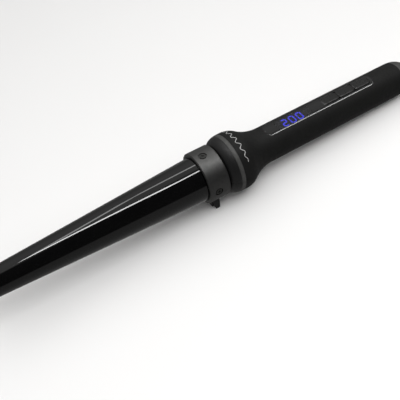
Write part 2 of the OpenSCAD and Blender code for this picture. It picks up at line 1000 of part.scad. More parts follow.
module swivel_gland() {
    bore = cord_hole_d / 2;
    throat_r = 2;
    throat_end = stem_front + 8;
    shoulder_r = 7.3;
    shoulder = cap_end + 0.2;
    shoulder_len = 3;
    nose_r = 5.6;
    edge = 0.8;
    groove_front = retainer_front - slip;
    groove_rear = retainer_front + retainer_len + slip;
    journal_front = retainer_front - 2;
    color([0.06, 0.06, 0.06]) turned([
        [stem_front, throat_r], [throat_end, throat_r], [throat_end, bore], [inlet_mouth, bore],
        [inlet_mouth, nose_r - edge], [inlet_mouth - edge, nose_r],
        [shoulder + shoulder_len, shoulder_r], [shoulder, shoulder_r], [shoulder, journal_r],
        [groove_rear, journal_r], [groove_rear, groove_r], [groove_front, groove_r],
        [groove_front, journal_r], [journal_front, journal_r],
        [journal_front, stem_r], [stem_front, stem_r]
    ]);
}

module swivel_retainer() {
    clip_r = 7.6;
    opening = 3.2;
    color([0.6, 0.6, 0.62]) difference() {
        ring(retainer_front, retainer_front + retainer_len, groove_r + 1.5 * fit, clip_r);
        translate([retainer_front - 1, -opening / 2, 0]) cube([retainer_len + 2, opening, big]);
    }
}

module contact_rings() {
    color([0.8, 0.55, 0.3])
        for (x = contact_stations) ring(x, x + contact_len, stem_r + fit / 2, contact_r);
}

// ---------------------------------------------------------------- assembly

seat() barrel_tube();
seat() cool_tip();
seat() tip_washer();
seat() tip_bracket();
seat() tip_screw();
seat() heat_block_upper();
seat() heat_block_lower();
seat() heater_plate();
seat() heater_spring();
seat() thermistor();
seat() thermal_fuse();
seat() barrel_flange();
seat() root_insulator();
seat() collar();
seat() collar_screws();
seat() stand();
seat() stand_screws();
seat() front_cap_upper();
seat() front_cap_lower();
seat() trim_ring_upper();
seat() trim_ring_lower();
seat() handle_upper_shell();
seat() handle_lower_shell();
seat() shell_screws();
seat() panel_cover();
seat() display_window();
seat() display_module();
seat() display_digits();
seat() button_power();
seat() button_plus();
seat() button_minus();
seat() tactile_switches();
seat() circuit_board();
seat() board_screws();
seat() microcontroller();
seat() triac();
seat() board_fuse();
seat() film_capacitor();
seat() choke();
seat() terminal_block();
seat() heater_lead_live();
seat() heater_lead_neutral();
seat() sensor_leads();
seat() mains_lead_live();
seat() mains_lead_neutral();
seat() end_cap();
seat() brush_holder();
seat() contact_brushes();
seat() swivel_gland();
seat() swivel_retainer();
seat() contact_rings();
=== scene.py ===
import json
import math

import bmesh
import bpy
from mathutils import Matrix, Vector

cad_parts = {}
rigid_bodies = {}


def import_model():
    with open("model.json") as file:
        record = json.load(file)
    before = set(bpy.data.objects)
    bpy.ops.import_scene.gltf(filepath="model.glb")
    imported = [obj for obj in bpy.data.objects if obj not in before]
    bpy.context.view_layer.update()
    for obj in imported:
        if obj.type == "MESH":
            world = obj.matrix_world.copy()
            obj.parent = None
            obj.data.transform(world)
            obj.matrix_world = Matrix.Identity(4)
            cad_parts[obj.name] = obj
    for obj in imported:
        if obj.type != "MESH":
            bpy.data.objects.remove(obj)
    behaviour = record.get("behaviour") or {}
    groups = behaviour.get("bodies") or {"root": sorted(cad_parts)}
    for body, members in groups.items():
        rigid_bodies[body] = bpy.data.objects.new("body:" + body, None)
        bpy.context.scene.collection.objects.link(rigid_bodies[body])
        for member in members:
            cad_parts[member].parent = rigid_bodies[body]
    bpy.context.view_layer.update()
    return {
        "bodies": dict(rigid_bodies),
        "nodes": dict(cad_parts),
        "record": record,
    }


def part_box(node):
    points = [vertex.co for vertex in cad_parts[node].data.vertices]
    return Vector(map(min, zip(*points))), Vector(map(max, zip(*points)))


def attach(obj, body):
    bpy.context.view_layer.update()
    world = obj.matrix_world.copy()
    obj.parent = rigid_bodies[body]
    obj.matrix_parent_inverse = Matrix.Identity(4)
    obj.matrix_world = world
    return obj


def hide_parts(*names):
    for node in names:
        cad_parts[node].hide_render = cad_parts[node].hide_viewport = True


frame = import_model()

MM = 0.001
SLIP = 0.1 * MM                 # play between pieces that fit into each other
BARREL_WALL = 1.5 * MM
SHELL_WALL = 2.2 * MM
SEAT_DEPTH = 2.4 * MM           # from the flare's peak down to the seat of the trim ring and caps
NECK = 14.4 * MM + SLIP         # radius of the opening round the root insulator's neck
SEAM_GAP = 0.05 * MM            # distance of a half shell's cut face from the seam
SHARP = math.radians(30)        # an edge that turns by more than this is rounded or kept crisp
MERGE_DISTANCE = 0.001 * MM
WELD_DISTANCE = 0.5 * MM * MM

# ---------------------------------------------------------------- places read from the frame

barrel_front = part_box("barrel_tube")[0].x
barrel_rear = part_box("barrel_tube")[1].x
tip_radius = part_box("cool_tip")[1].z - SLIP
root_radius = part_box("barrel_tube")[1].z
grip_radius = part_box("panel_cover")[1].z
sole = next(m for m in frame["record"]["mounts"] if m["name"] == "stand_sole")
floor_up = -Vector(sole["axis"])


# ---------------------------------------------------------------- node tools for the materials

NOISE_LOW, NOISE_HIGH = 0.3, 0.7        # most values of a noise texture are between these
COLOUR_DETAIL, RELIEF_DETAIL = 3.0, 2.0


def make_node(tree, kind, inputs=None, **settings):
    """A new node. Each of its inputs takes a value or is linked to another node's output."""
    made = tree.nodes.new(kind)
    for key, value in settings.items():
        setattr(made, key, value)
    for key, value in (inputs or {}).items():
        if isinstance(value, bpy.types.NodeSocket):
            tree.links.new(value, made.inputs[key])
        else:
            made.inputs[key].default_value = value
    return made


class Finish:
    """A node material on one Principled shader, built from small effects in object space."""

    def __init__(self, name, **sockets):
        self.material = bpy.data.materials.new(name)
        self.material.use_nodes = True
        self.tree = self.material.node_tree
        self.shader = self.tree.nodes["Principled BSDF"]
        for socket, value in sockets.items():
            self.shader.inputs[socket.replace("_", " ")].default_value = value
        self.height = None

    def node(self, kind, inputs=None, **settings):
        return make_node(self.tree, kind, inputs, **settings)

    def noise(self, size, stretch, detail=COLOUR_DETAIL):
        """Noise whose lumps are about size metres across, drawn out by stretch along X, Y and Z."""
        spot = self.node("ShaderNodeTexCoord").outputs["Object"]
        scale = [1 / (size * s) for s in stretch]
        mapped = self.node("ShaderNodeMapping", {"Vector": spot, "Scale": scale})
        made = self.node("ShaderNodeTexNoise", {
            "Vector": mapped.outputs["Vector"], "Scale": 1.0, "Detail": detail})
        return made.outputs["Fac"]

    def spread(self, value, low, high):
        """The noise's usual range mapped to low and high."""
        made = self.node("ShaderNodeMapRange", {
            "Value": value, "From Min": NOISE_LOW, "From Max": NOISE_HIGH,
            "To Min": low, "To Max": high})
        return made.outputs["Result"]

    def mottle(self, colour, amount, size, stretch=(1, 1, 1)):
        """Slow changes of colour round its mean."""
        share = self.spread(self.noise(size, stretch), 0.0, 1.0)
        mixed = self.node("ShaderNodeMix", {"Factor": share}, data_type="RGBA")
        # a Mix node has an A and a B for every type that it can mix: the colour ones are wanted
        darker, lighter = [s for s in mixed.inputs if s.type == "RGBA"]
        darker.default_value = [c * (1 - amount) for c in colour] + [1]
        lighter.default_value = [min(1, c * (1 + amount)) for c in colour] + [1]
        out = next(s for s in mixed.outputs if s.type == "RGBA")
        self.tree.links.new(out, self.shader.inputs["Base Color"])
        return self

    def polish(self, low, high, size, stretch=(1, 1, 1)):
        """Roughness that wanders between two values."""
        rough = self.spread(self.noise(size, stretch), low, high)
        self.tree.links.new(rough, self.shader.inputs["Roughness"])
        return self

    def relief(self, depth, size, stretch=(1, 1, 1)):
        """Fine bumps, depth metres high; calls add up."""
        bumps = self.noise(size, stretch, RELIEF_DETAIL)
        inputs = {"Height": bumps, "Distance": depth, "Strength": 1.0}
        if self.height is not None:
            inputs["Normal"] = self.height
        self.height = self.node("ShaderNodeBump", inputs).outputs["Normal"]
        self.tree.links.new(self.height, self.shader.inputs["Normal"])
        return self


def moulded(name, colour, rough, grain=0.3 * MM, depth=0.006 * MM, **sockets):
    """Moulded plastic: spark-eroded grain, slightly uneven gloss."""
    made = Finish(name, **sockets)
    made.mottle(colour, amount=0.12, size=9 * MM)
    made.polish(rough - 0.05, rough + 0.06, size=2 * MM).relief(depth, size=grain)
    return made.material


def metal(name, colour, rough, stretch=(1, 1, 1), depth=0.002 * MM):
    """Plain metal: slightly uneven gloss and fine marks, drawn out by stretch."""
    made = Finish(name, Metallic=1.0)
    made.mottle(colour, amount=0.08, size=3 * MM, stretch=stretch)
    made.polish(rough - 0.06, rough + 0.08, size=0.5 * MM, stretch=stretch)
    made.relief(depth, size=0.12 * MM, stretch=stretch)
    return made.material


TURNED = (1, 60, 60)            # marks of a lathe run round the axis

materials = {
    "ceramic_coat": Finish("ceramic_coat")
    .mottle((0.0012, 0.0012, 0.0013), amount=0.25, size=12 * MM)
    .polish(0.035, 0.075, size=6 * MM).relief(0.0006 * MM, size=0.9 * MM).material,
    "tip_plastic": moulded("tip_plastic", (0.018, 0.018, 0.018), rough=0.5),
    "flange_plastic": Finish("flange_plastic")
    .mottle((0.006, 0.006, 0.006), amount=0.2, size=8 * MM)
    .polish(0.12, 0.2, size=2 * MM).relief(0.001 * MM, size=0.5 * MM).material,
    "collar_paint": metal("collar_paint", (0.11, 0.11, 0.108), rough=0.52),
    "black_screw": metal("black_screw", (0.06, 0.06, 0.058), rough=0.4),
    "stand_plastic": moulded(
        "stand_plastic", (0.004, 0.004, 0.004), rough=0.55, Specular_IOR_Level=0.3),
    "cap_plastic": moulded(
        "cap_plastic", (0.006, 0.006, 0.006), rough=0.5, grain=0.2 * MM, depth=0.002 * MM,
        Specular_IOR_Level=0.4),
    "trim_metal": Finish("trim_metal", Metallic=0.35)
    .mottle((0.06, 0.06, 0.058), amount=0.1, size=3 * MM)
    .polish(0.5, 0.62, size=0.5 * MM, stretch=TURNED)
    .relief(0.001 * MM, size=0.1 * MM, stretch=TURNED).material,
    "soft_touch": moulded(
        "soft_touch", (0.0052, 0.0052, 0.005), rough=0.66, grain=0.12 * MM, depth=0.004 * MM,
        Specular_IOR_Level=0.25),
    "panel_gloss": Finish("panel_gloss")
    .mottle((0.003, 0.003, 0.0033), amount=0.2, size=8 * MM)
    .polish(0.1, 0.15, size=4 * MM).relief(0.0006 * MM, size=1.1 * MM).material,
    "smoked_lens": Finish("smoked_lens", Transmission_Weight=1.0, IOR=1.49)
    .mottle((0.1, 0.1, 0.12), amount=0.06, size=6 * MM)
    .polish(0.1, 0.15, size=3 * MM).relief(0.0004 * MM, size=1.2 * MM).material,
    "button_black": moulded(
        "button_black", (0.003, 0.003, 0.003), rough=0.3, grain=0.5 * MM, depth=0.0006 * MM,
        Specular_IOR_Level=0.4),
    "black_plastic": moulded("black_plastic", (0.02, 0.02, 0.02), rough=0.5),
    "led_blue": Finish("led_blue", Emission_Color=(0.07, 0.075, 1.0, 1), Emission_Strength=7.0)
    .mottle((0.1, 0.1, 0.9), amount=0.1, size=1 * MM).polish(0.3, 0.4, size=1 * MM).material,
    "insulator": moulded("insulator", (0.03, 0.03, 0.03), rough=0.6),
    "mica": moulded("mica", (0.5, 0.44, 0.3), rough=0.5),
    "alumina": moulded("alumina", (0.7, 0.68, 0.62), rough=0.5),
    "bare_aluminium": metal("bare_aluminium", (0.75, 0.76, 0.77), rough=0.3),
    "spring_steel": metal("spring_steel", (0.42, 0.43, 0.45), rough=0.3),
    "zinc_steel": metal("zinc_steel", (0.6, 0.61, 0.63), rough=0.32),
    "board_green": moulded("board_green", (0.02, 0.14, 0.05), rough=0.35),
    "capacitor_resin": moulded("capacitor_resin", (0.5, 0.2, 0.04), rough=0.4),
    "copper": metal("copper", (0.72, 0.4, 0.25), rough=0.35),
    "contact_copper": metal("contact_copper", (0.78, 0.48, 0.3), rough=0.25, stretch=TURNED),
    "terminal_green": moulded("terminal_green", (0.06, 0.3, 0.1), rough=0.4),
    "wire_red": moulded("wire_red", (0.45, 0.03, 0.02), rough=0.5),
    "wire_blue": moulded("wire_blue", (0.03, 0.1, 0.4), rough=0.5),
    "wire_brown": moulded("wire_brown", (0.2, 0.08, 0.03), rough=0.5),
    "wire_white": moulded("wire_white", (0.7, 0.7, 0.66), rough=0.7),
    "fuse_glass": Finish("fuse_glass", Transmission_Weight=0.9, IOR=1.5)
    .mottle((0.85, 0.87, 0.85), amount=0.04, size=4 * MM)
    .polish(0.03, 0.08, size=2 * MM).material,
    "gland_rubber": moulded(
        "gland_rubber", (0.014, 0.014, 0.014), rough=0.62, grain=0.2 * MM, depth=0.006 * MM),
    "holder_plastic": moulded("holder_plastic", (0.6, 0.56, 0.45), rough=0.5),
}
silver_ink = (
    Finish("silver_ink", Metallic=0.35).mottle((0.72, 0.72, 0.72), amount=0.06, size=MM)
    .polish(0.3, 0.42, size=0.3 * MM).relief(0.001 * MM, size=0.08 * MM).material)
slot_of = {row["node"]: row["material_slot"] for row in frame["record"]["subparts"]}


# ---------------------------------------------------------------- mesh tools

CUTTER_BOTTOM, CUTTER_TOP = 0.5 * MM, 30 * MM   # from just over the seam to clear of the grip


def arc(centre, radius, start, end, step=2.5):
    """Points of an arc about an (x, radius) centre; angle 0 points outwards, 90 to the rear."""
    steps = max(1, math.ceil(abs(end - start) / step))
    turns = [math.radians(start + (end - start) * i / steps) for i in range(steps + 1)]
    return [(centre[0] + radius * math.sin(a), centre[1] + radius * math.cos(a)) for a in turns]


def split_long(outline, cell):
    """The closed outline again, with points added: no straight stretch is longer than cell."""
    points = []
    for here, after in zip(outline, outline[1:] + outline[:1]):
        gap = math.dist(here, after)
        parts = max(1, math.ceil(gap / cell))
        points += [tuple(h + (a - h) * k / parts for h, a in zip(here, after))
                   for k in range(parts)]
    return points


def new_piece(name, bm):
    """An object of the finished bmesh, which it uses up."""
    bmesh.ops.remove_doubles(bm, verts=bm.verts, dist=MERGE_DISTANCE)
    bmesh.ops.recalc_face_normals(bm, faces=bm.faces)
    mesh = bpy.data.meshes.new(name)
    bm.to_mesh(mesh)
    bm.free()
    mesh.shade_smooth()
    made = bpy.data.objects.new(name, mesh)
    bpy.context.scene.collection.objects.link(made)
    return made


def turned(name, outline, cell=1.5 * MM, steps=144, half=0):
    """Solid of revolution about the wand's axis from a closed outline of (x, radius) points.
    half = 1 or -1 keeps only what is over or under the seam, SEAM_GAP away from it."""
    outline = split_long(outline, cell)
    bm = bmesh.new()
    first, sweep = (0, 360) if half == 0 else (-90 * half, 180)
    count = steps if half == 0 else steps // 2 + 1
    rings = []
    for i in range(count):
        a = math.radians(first + sweep * i / (count if half == 0 else count - 1))
        rings.append([bm.verts.new((x, r * math.sin(a), r * math.cos(a))) for x, r in outline])
    pairs = list(zip(rings, rings[1:])) + ([(rings[-1], rings[0])] if half == 0 else [])
    for one, two in pairs:
        for j in range(len(outline)):
            k = (j + 1) % len(outline)
            if outline[j][1] > 0 or outline[k][1] > 0:
                bm.faces.new((one[j], one[k], two[k], two[j]))
    if half:
        bm.faces.new(rings[0])
        bm.faces.new(rings[-1])
        for v in rings[0] + rings[-1]:
            v.co.z = half * SEAM_GAP
    return new_piece(name, bm)


def plan_outline(front, rear, width, corner, step=15):
    """Corner-rounded rectangle seen from above, as (x, y) points."""
    spots = [(rear - corner, width / 2 - corner, 0), (front + corner, width / 2 - corner, 90),
             (front + corner, corner - width / 2, 180), (rear - corner, corner - width / 2, 270)]
    turns = [(x, y, math.radians(a + t)) for x, y, a in spots for t in range(0, 91, step)]
    return [(x + corner * math.cos(t), y + corner * math.sin(t)) for x, y, t in turns]


def cutter(name, outline):
    """Upright prism over an (x, y) outline, through the upper side of the grip."""
    bm = bmesh.new()
    low = [bm.verts.new((x, y, CUTTER_BOTTOM)) for x, y in outline]
    high = [bm.verts.new((x, y, CUTTER_TOP)) for x, y in outline]
    bm.faces.new(low)
    bm.faces.new(high)
    for j in range(len(outline)):
        k = (j + 1) % len(outline)
        bm.faces.new((low[j], low[k], high[k], high[j]))
    return new_piece(name, bm)


def rod(name, spot, way, radius, length, sides=48):
    """Round bar from a spot along a direction."""
    bm = bmesh.new()
    turn = Vector(way).to_track_quat("Z", "Y").to_matrix().to_4x4()
    middle = Matrix.Translation(Vector(spot) + Vector(way).normalized() * length / 2)
    bmesh.ops.create_cone(
        bm, cap_ends=True, segments=sides, radius1=radius, radius2=radius, depth=length,
        matrix=middle @ turn)
    return new_piece(name, bm)


def bake(piece):
    """Turns the piece's modifiers into its mesh."""
    bpy.context.view_layer.update()
    solid = piece.evaluated_get(bpy.context.evaluated_depsgraph_get())
    mesh = bpy.data.meshes.new_from_object(solid)
    piece.modifiers.clear()
    piece.data = mesh


def combine(piece, other, operation="DIFFERENCE"):
    """Cuts other out of the piece, or adds or intersects it, and throws other away."""
    step = piece.modifiers.new("combine", "BOOLEAN")
    step.operation = operation
    step.solver = "EXACT"
    step.object = other
    bake(piece)
    bpy.data.objects.remove(other)
    return piece


def round_edges(piece, width):
    bevel = piece.modifiers.new("edges", "BEVEL")
    bevel.width = width
    bevel.segments = 3
    bevel.limit_method = "ANGLE"
    bevel.angle_limit = SHARP
    bevel.harden_normals = True


def place(piece, nodes, edge, body="wand"):
    """Finishes a piece that stands for CAD nodes: its material, chosen by the first node's slot,
    its edges and its body.
    edge is the rounding of its sharp edges, or 0 where they stay crisp."""
    slot = slot_of[nodes[0]]
    piece.data.materials.clear()
    piece.data.materials.append(materials[slot])
    piece.data.shade_smooth()
    if edge:
        round_edges(piece, edge)
    else:
        piece.data.set_sharp_from_angle(angle=SHARP)
    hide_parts(*nodes)
    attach(piece, body)
    return piece


# ---------------------------------------------------------------- CAD nodes that stay

EDGES = {"stand": 0.4 * MM, "collar_screws": 0.12 * MM}
USUAL_EDGE = 0.08 * MM


def dress(name):
    """Gives a CAD node its finish, and rounds its sharp edges without touching its own mesh."""
    shown = frame["nodes"][name]
    shown.data.materials.clear()
    shown.data.materials.append(materials[slot_of[name]])
    weld = shown.modifiers.new("weld", "WELD")
    weld.merge_threshold = WELD_DISTANCE
    round_edges(shown, EDGES.get(name, USUAL_EDGE))


for node_name in frame["nodes"]:
    dress(node_name)


# ---------------------------------------------------------------- barrel

def cone_radius(x):
    """Outer radius of the barrel."""
    share = (x - barrel_front) / (barrel_rear - barrel_front)
    return tip_radius + share * (root_radius - tip_radius)


def add_barrel():
    """Conical tube with a rolled front rim."""
    rim = 0.7 * MM
    rim_centre = (barrel_front + rim, cone_radius(barrel_front + rim) - rim)
    barrel = turned("barrel", [
        (barrel_front, cone_radius(barrel_front) - BARREL_WALL),
        (barrel_rear, root_radius - BARREL_WALL), (barrel_rear, root_radius),
        *arc(rim_centre, rim, start=-3, end=-90, step=15)], steps=240, cell=12 * MM)
    place(barrel, ["barrel_tube"], edge=0)


def add_tip():
    """Heat-proof tip with two grip grooves, a screw pocket and a spigot inside the barrel."""
    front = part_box("cool_tip")[0].x
    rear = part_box("cool_tip")[1].x
    body = tip_radius + SLIP
    spigot = tip_radius - BARREL_WALL - SLIP
    shoulder = barrel_front - SLIP
    bevel, step = 0.9 * MM, 0.4 * MM
    nose = 3.5 * MM
    nose_centre = (front + nose, body - 0.5 * MM - nose)
    screw_hole, pocket_radius = 1.7 * MM, 3 * MM
    pocket_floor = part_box("tip_screw")[0].x + 1.6 * MM
    groove, groove_depth = 0.35 * MM, 0.5 * MM
    front_lip, rear_lip = 0.1 * MM, 0.05 * MM
    grooves = []
    for spot in (front + 6 * MM, front + 8.5 * MM):
        grooves += [(spot, body - front_lip), (spot + groove, body - groove_depth),
                    (spot + 2 * groove, body - groove_depth), (spot + 3 * groove, body - rear_lip)]
    tip = turned("tip_cover", [
        (front, pocket_radius), *arc(nose_centre, nose, start=-90, end=-4, step=6), *grooves,
        (shoulder - bevel, body), (shoulder - step, body - step), (shoulder, body - step),
        (shoulder, spigot), (rear, spigot), (rear, screw_hole), (pocket_floor, screw_hole),
        (pocket_floor, pocket_radius)])
    place(tip, ["cool_tip"], edge=0.12 * MM)


def add_flange():
    """Thin ring in the collar's mouth, round the barrel's root."""
    lo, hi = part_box("barrel_flange")
    inner = root_radius + SLIP
    edge = 0.2 * MM
    flange = turned("root_ring", [
        (lo.x, inner + edge / 2), (lo.x, hi.z - edge), (lo.x + edge, hi.z), (hi.x, hi.z),
        (hi.x, inner), (lo.x + edge / 2, inner)], steps=192)
    place(flange, ["barrel_flange"], edge=0)


def add_collar():
    """Turned collar with counterbored holes for its four screws."""
    lo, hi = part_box("collar")
    outer = hi.z
    bore = outer - 1.9 * MM
    front_bevel, rear_bevel = 0.5 * MM, 0.9 * MM
    head_lo, head_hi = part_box("collar_screws")
    station = (head_lo.x + head_hi.x) / 2
    head = (head_hi.x - head_lo.x) / 2 + 0.75 * MM
    head_depth, shank = 1.2 * MM, 1.15 * MM
    clear = 5 * MM              # the cutters stand out of the collar
    collar = turned("collar_band", [
        (lo.x, bore), (hi.x, bore), (hi.x, outer - rear_bevel), (hi.x - rear_bevel, outer),
        (lo.x + front_bevel, outer), (lo.x, outer - front_bevel)], cell=1.3 * MM, steps=160)
    for turn in (0, 90, 180, 270):
        a = math.radians(turn)
        way = (0, math.sin(a), math.cos(a))
        seat = Vector(way) * (outer - head_depth) + Vector((station, 0, 0))
        combine(collar, rod("cut", seat, way, head, clear))
        combine(collar, rod("cut", Vector((station, 0, 0)), way, shank, outer + clear, sides=32))
    place(collar, ["collar"], edge=0.2 * MM)


# ---------------------------------------------------------------- handle

FLARE_ROLL = 14.8 * MM          # convex radius of the flare behind its peak
FLARE_ANGLE = 35                # slope, in degrees, where the roll meets the concave sweep
PEAK_BEHIND_RING = 3.1 * MM

flare_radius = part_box("handle_upper_shell")[1].z
ring_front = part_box("trim_ring_upper")[0].x
ring_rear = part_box("trim_ring_upper")[1].x
grip_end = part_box("handle_upper_shell")[1].x
tongue_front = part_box("handle_upper_shell")[0].x
flare_peak = ring_rear + PEAK_BEHIND_RING
seat_radius = flare_radius - SEAT_DEPTH
bend = 1 - math.cos(math.radians(FLARE_ANGLE))
flare_sweep = (flare_radius - FLARE_ROLL * bend - grip_radius) / bend
flare_end = flare_peak + (FLARE_ROLL + flare_sweep) * math.sin(math.radians(FLARE_ANGLE))
roll_centre = (flare_peak, flare_radius - FLARE_ROLL)
sweep_centre = (flare_end, grip_radius + flare_sweep)


def flare_surface(x):
    """Outer radius of the handle behind the trim ring."""
    if x < flare_peak + FLARE_ROLL * math.sin(math.radians(FLARE_ANGLE)):
        return roll_centre[1] + math.sqrt(FLARE_ROLL ** 2 - (x - flare_peak) ** 2)
    if x < flare_end:
        return sweep_centre[1] - math.sqrt(flare_sweep ** 2 - (flare_end - x) ** 2)
    return grip_radius


def shell(name, half):
    """Half of the handle: tongue under the trim ring, flare, grip, and a rib round the neck."""
    rib_front = flare_peak - 2.6 * MM
    rib_rear = flare_peak + 0.6 * MM
    wall = flare_radius - SHELL_WALL - 2 * MM
    behind_rib, tongue_taper = wall - 1.5 * MM, 0.2 * MM
    bore = grip_radius - SHELL_WALL
    ring_step = 0.08 * MM
    return turned(name, [
        (tongue_front, seat_radius), (ring_rear, seat_radius),
        (ring_rear, flare_radius - ring_step), *arc(roll_centre, FLARE_ROLL, 0, FLARE_ANGLE),
        *arc(sweep_centre, flare_sweep, 180 + FLARE_ANGLE, 180)[1:],
        (grip_end, grip_radius), (grip_end, bore),
        *arc(sweep_centre, flare_sweep + SHELL_WALL, 180, 180 + FLARE_ANGLE - 4, step=5),
        (rib_rear, behind_rib), (rib_rear, NECK), (rib_front, NECK), (rib_front, wall),
        (tongue_front, wall - tongue_taper)], steps=192, half=half)


PANEL_CORNER = 4 * MM
PANEL_LEDGE = 1.2 * MM
PANEL_SKIN = 1.25 * MM
PANEL_EDGE = 0.4 * MM
WINDOW_BORDER = 0.02 * MM
WINDOW_CORNER, WINDOW_MOUTH_CORNER = 1.46 * MM, 1.5 * MM
KEY_MOUTH, KEY_MOUTH_CORNER = 0.15 * MM, 2.15 * MM
KEY_FLANGE = 0.45 * MM          # how far a key's flange stands out on each side

panel_lo, panel_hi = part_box("panel_cover")
window_lo, window_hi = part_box("display_window")
key_nodes = ["button_power", "button_plus", "button_minus"]
key_width = 2 * (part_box("button_power")[1].y - KEY_FLANGE)


def add_upper_shell():
    """Upper shell with the panel's seat and the opening under it."""
    upper = shell("upper_shell", half=1)
    front, rear, width = panel_lo.x - SLIP, panel_hi.x + SLIP, 2 * (panel_hi.y + SLIP)
    overrun = 2 * MM
    core = turned("core", [
        (front - overrun, 0), (front - overrun, grip_radius - PANEL_SKIN),
        (rear + overrun, grip_radius - PANEL_SKIN), (rear + overrun, 0)], steps=192, cell=8 * MM)
    seat = cutter("seat", plan_outline(front, rear, width, PANEL_CORNER))
    combine(seat, core)
    combine(upper, seat)
    ledge = PANEL_LEDGE
    through = plan_outline(front + ledge, rear - ledge, width - 2 * ledge, PANEL_CORNER - ledge)
    combine(upper, cutter("through", through))
    place(upper, ["handle_upper_shell"], edge=0.12 * MM)


def add_lower_shell():
    """Lower shell with the pockets and bosses of its three screws."""
    lower = shell("lower_shell", half=-1)
    lo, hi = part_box("shell_screws")
    head = 2.4 * MM
    spots = [(lo.x + head, lo.y + head), (lo.x + head, hi.y - head), (hi.x - head, 0)]
    up = (0, 0, 1)
    boss_radius, pocket_radius, hole_radius = 3.6 * MM, 2.6 * MM, 1.5 * MM
    boss_bottom, boss_length, hole_length = -20 * MM, 19.5 * MM, 20 * MM
    pocket_bottom, pocket_length = -40 * MM, 33 * MM
    ahead, flare_clear, wall_inset = 8 * MM, 2 * MM, 0.5 * MM
    inside = turned("inside", [
        (lo.x - ahead, 0), (lo.x - ahead, grip_radius + flare_clear),
        (flare_end, grip_radius - wall_inset), (grip_end, grip_radius - wall_inset),
        (grip_end, 0)], steps=96, cell=10 * MM)
    for x, y in spots:
        boss = rod("boss", (x, y, boss_bottom), up, boss_radius, boss_length)
        shaped = inside.copy()
        shaped.data = inside.data.copy()
        bpy.context.scene.collection.objects.link(shaped)
        combine(boss, shaped, "INTERSECT")
        combine(lower, boss, "UNION")
        combine(lower, rod("pocket", (x, y, pocket_bottom), up, pocket_radius, pocket_length))
        combine(lower, rod("hole", (x, y, boss_bottom), up, hole_radius, hole_length, sides=32))
    bpy.data.objects.remove(inside)
    place(lower, ["handle_lower_shell"], edge=0.12 * MM)


def add_front_cap(name, node, half):
    """Rolled front of the handle, thin-walled, over the neck."""
    cap_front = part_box(node)[0].x
    rear = ring_front - 0.1 * MM
    roll, wall, ring_step = 9 * MM, 2 * MM, 0.35 * MM
    slope = 8                   # degrees between the roll's end and the wand's axis
    centre = (rear + roll * math.sin(math.radians(slope)),
              flare_radius - ring_step - roll * math.cos(math.radians(slope)))
    brow = math.degrees(math.asin((centre[0] - cap_front) / roll))
    inner = seat_radius + SLIP
    cap = turned(name, [
        (cap_front, NECK), *arc(centre, roll, -brow, -slope), (rear, inner),
        (tongue_front - 2 * SLIP, inner), (cap_front + wall, inner - wall),
        (cap_front + wall, NECK)], steps=192, cell=MM, half=half)
    place(cap, [node], edge=0.12 * MM)


def add_trim(name, node, half):
    """Slightly crowned metal ring, a little under the flare's surface."""
    lo, hi = ring_front, ring_rear
    inner = seat_radius + SLIP
    bevel = 0.3 * MM
    rear_side, rear_top, front_top, front_side = 0.2 * MM, 0.1 * MM, 0.3 * MM, 0.45 * MM
    middle_dip, crown = 0.2 * MM, 0.12 * MM
    ring = turned(name, [
        (lo, inner), (hi, inner), (hi, flare_radius - rear_side),
        (hi - bevel, flare_radius - rear_top), ((lo + hi) / 2, flare_radius - middle_dip + crown),
        (lo + bevel, flare_radius - front_top), (lo, flare_radius - front_side)],
        steps=192, cell=MM, half=half)
    place(ring, [node], edge=0.06 * MM)


def add_motif():
    """Silver wave line round the top of the flare."""
    reach, waves, points = 54, 7, 320       # reach in degrees on each side of the top
    stroke, lift, sunk, swing = 0.16 * MM, 0.02 * MM, 0.15 * MM, 1.3 * MM
    middle = flare_peak + 1.7 * MM
    line = []
    for i in range(points + 1):
        t = i / points
        fade = math.sin(math.pi * t) ** 0.5
        line.append((middle + swing * fade * math.sin(2 * math.pi * waves * t),
                     math.radians(reach * (2 * t - 1)) * flare_radius))
    bm = bmesh.new()
    rows = []
    for i, (x, around) in enumerate(line):
        before, after = line[max(0, i - 1)], line[min(points, i + 1)]
        along = Vector((after[0] - before[0], after[1] - before[1])).normalized()
        row = []
        for side, depth in ((1, lift), (-1, lift), (-1, -sunk), (1, -sunk)):
            px = x - side * stroke * along.y
            a = (around + side * stroke * along.x) / flare_radius
            r = flare_surface(px) + depth
            row.append(bm.verts.new((px, r * math.sin(a), r * math.cos(a))))
        rows.append(row)
    for one, two in zip(rows, rows[1:]):
        for j in range(4):
            k = (j + 1) % 4
            bm.faces.new((one[j], one[k], two[k], two[j]))
    bm.faces.new(rows[0])
    bm.faces.new(rows[-1])
    motif = new_piece("wave_motif", bm)
    motif.data.materials.append(silver_ink)
    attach(motif, "wand")


# ---------------------------------------------------------------- control panel

def skin_patch(name, outline):
    """Piece of the grip's outer skin, cut to a plan."""
    floor = grip_radius - PANEL_SKIN
    xs = [x for x, y in outline]
    front, rear = min(xs) - MM, max(xs) + MM
    patch = turned(name, [(front, floor), (rear, floor), (rear, grip_radius), (front, grip_radius)],
                   steps=240, cell=0.9 * MM)
    return combine(patch, cutter("plan", outline), "INTERSECT")


